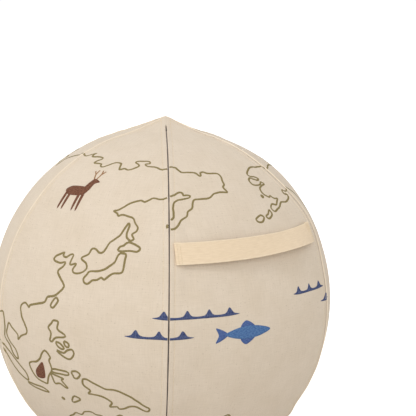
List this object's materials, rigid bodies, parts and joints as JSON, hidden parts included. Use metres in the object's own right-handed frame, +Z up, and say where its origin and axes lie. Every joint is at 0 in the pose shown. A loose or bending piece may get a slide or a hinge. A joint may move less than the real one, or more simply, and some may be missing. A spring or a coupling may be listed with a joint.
{
  "type": "sitting ball",
  "caption": "Large round sitting ball: an inflated bladder in a panelled canvas cover with a peaked crown, a concealed zip seam and a webbing carry handle.",
  "frame": {"origin": "on the floor, under the middle of the ball", "axes": "+Z up through the crown; the zip seam faces -Y; the carry handle is on the panel between -Y and +X"},
  "size_m": [0.5558, 0.5776, 0.5657],
  "materials": {
    "canvas": "matte woven cotton",
    "seam_tape": "matte woven cotton",
    "webbing": "ribbed cotton webbing",
    "thread": "matte thread",
    "zip_tape": "woven polyester",
    "zip_chain": "satin",
    "zip_metal": "satin",
    "bladder_pvc": "satin",
    "valve": "satin"
  },
  "bodies": {
    "cover": {"panel_front_right": "canvas", "panel_right": "canvas", "panel_rear_right": "canvas", "panel_rear_left": "canvas", "panel_left": "canvas", "panel_front_left": "canvas", "seam_tape_front_right": "seam_tape", "seam_tape_rear_right": "seam_tape", "seam_tape_rear": "seam_tape", "seam_tape_rear_left": "seam_tape", "seam_tape_front_left": "seam_tape", "zip_tape_right": "zip_tape", "zip_tape_left": "zip_tape", "zip_chain_right": "zip_chain", "zip_chain_left": "zip_chain", "zip_bottom_stop": "zip_chain", "zip_top_stop": "zip_chain", "handle_end_zip_side": "webbing", "handle_end_seam_side": "webbing", "handle_stitching": "thread", "bladder": "bladder_pvc", "valve_seat": "valve"},
    "handle": {"handle_loop": "webbing"},
    "slider": {"zip_slider": "zip_metal"},
    "pull": {"zip_pull": "zip_metal"},
    "plug": {"valve_plug": "valve"}
  },
  "joints": [
    {"name": "handle_swing", "type": "hinge", "parent": "cover", "child": "handle", "pos_m": [0.11797, -0.19974, 0.39738], "axis": [-0.8527, -0.5213, -0.0341], "range_deg": [-8, 8]},
    {"name": "zip_travel", "type": "hinge", "parent": "cover", "child": "slider", "pos_m": [0, -0.01312, 0.26904], "axis": [-1, 0, 0], "range_deg": [0, 121]},
    {"name": "pull_swing", "type": "hinge", "parent": "slider", "child": "pull", "pos_m": [0, -0.17222, 0.03841], "axis": [-1, 0, 0], "range_deg": [-50, 120]},
    {"name": "plug_pull", "type": "slide", "parent": "cover", "child": "plug", "axis": [0, 0, 1], "range_m": [0, 0.01]}
  ]
}
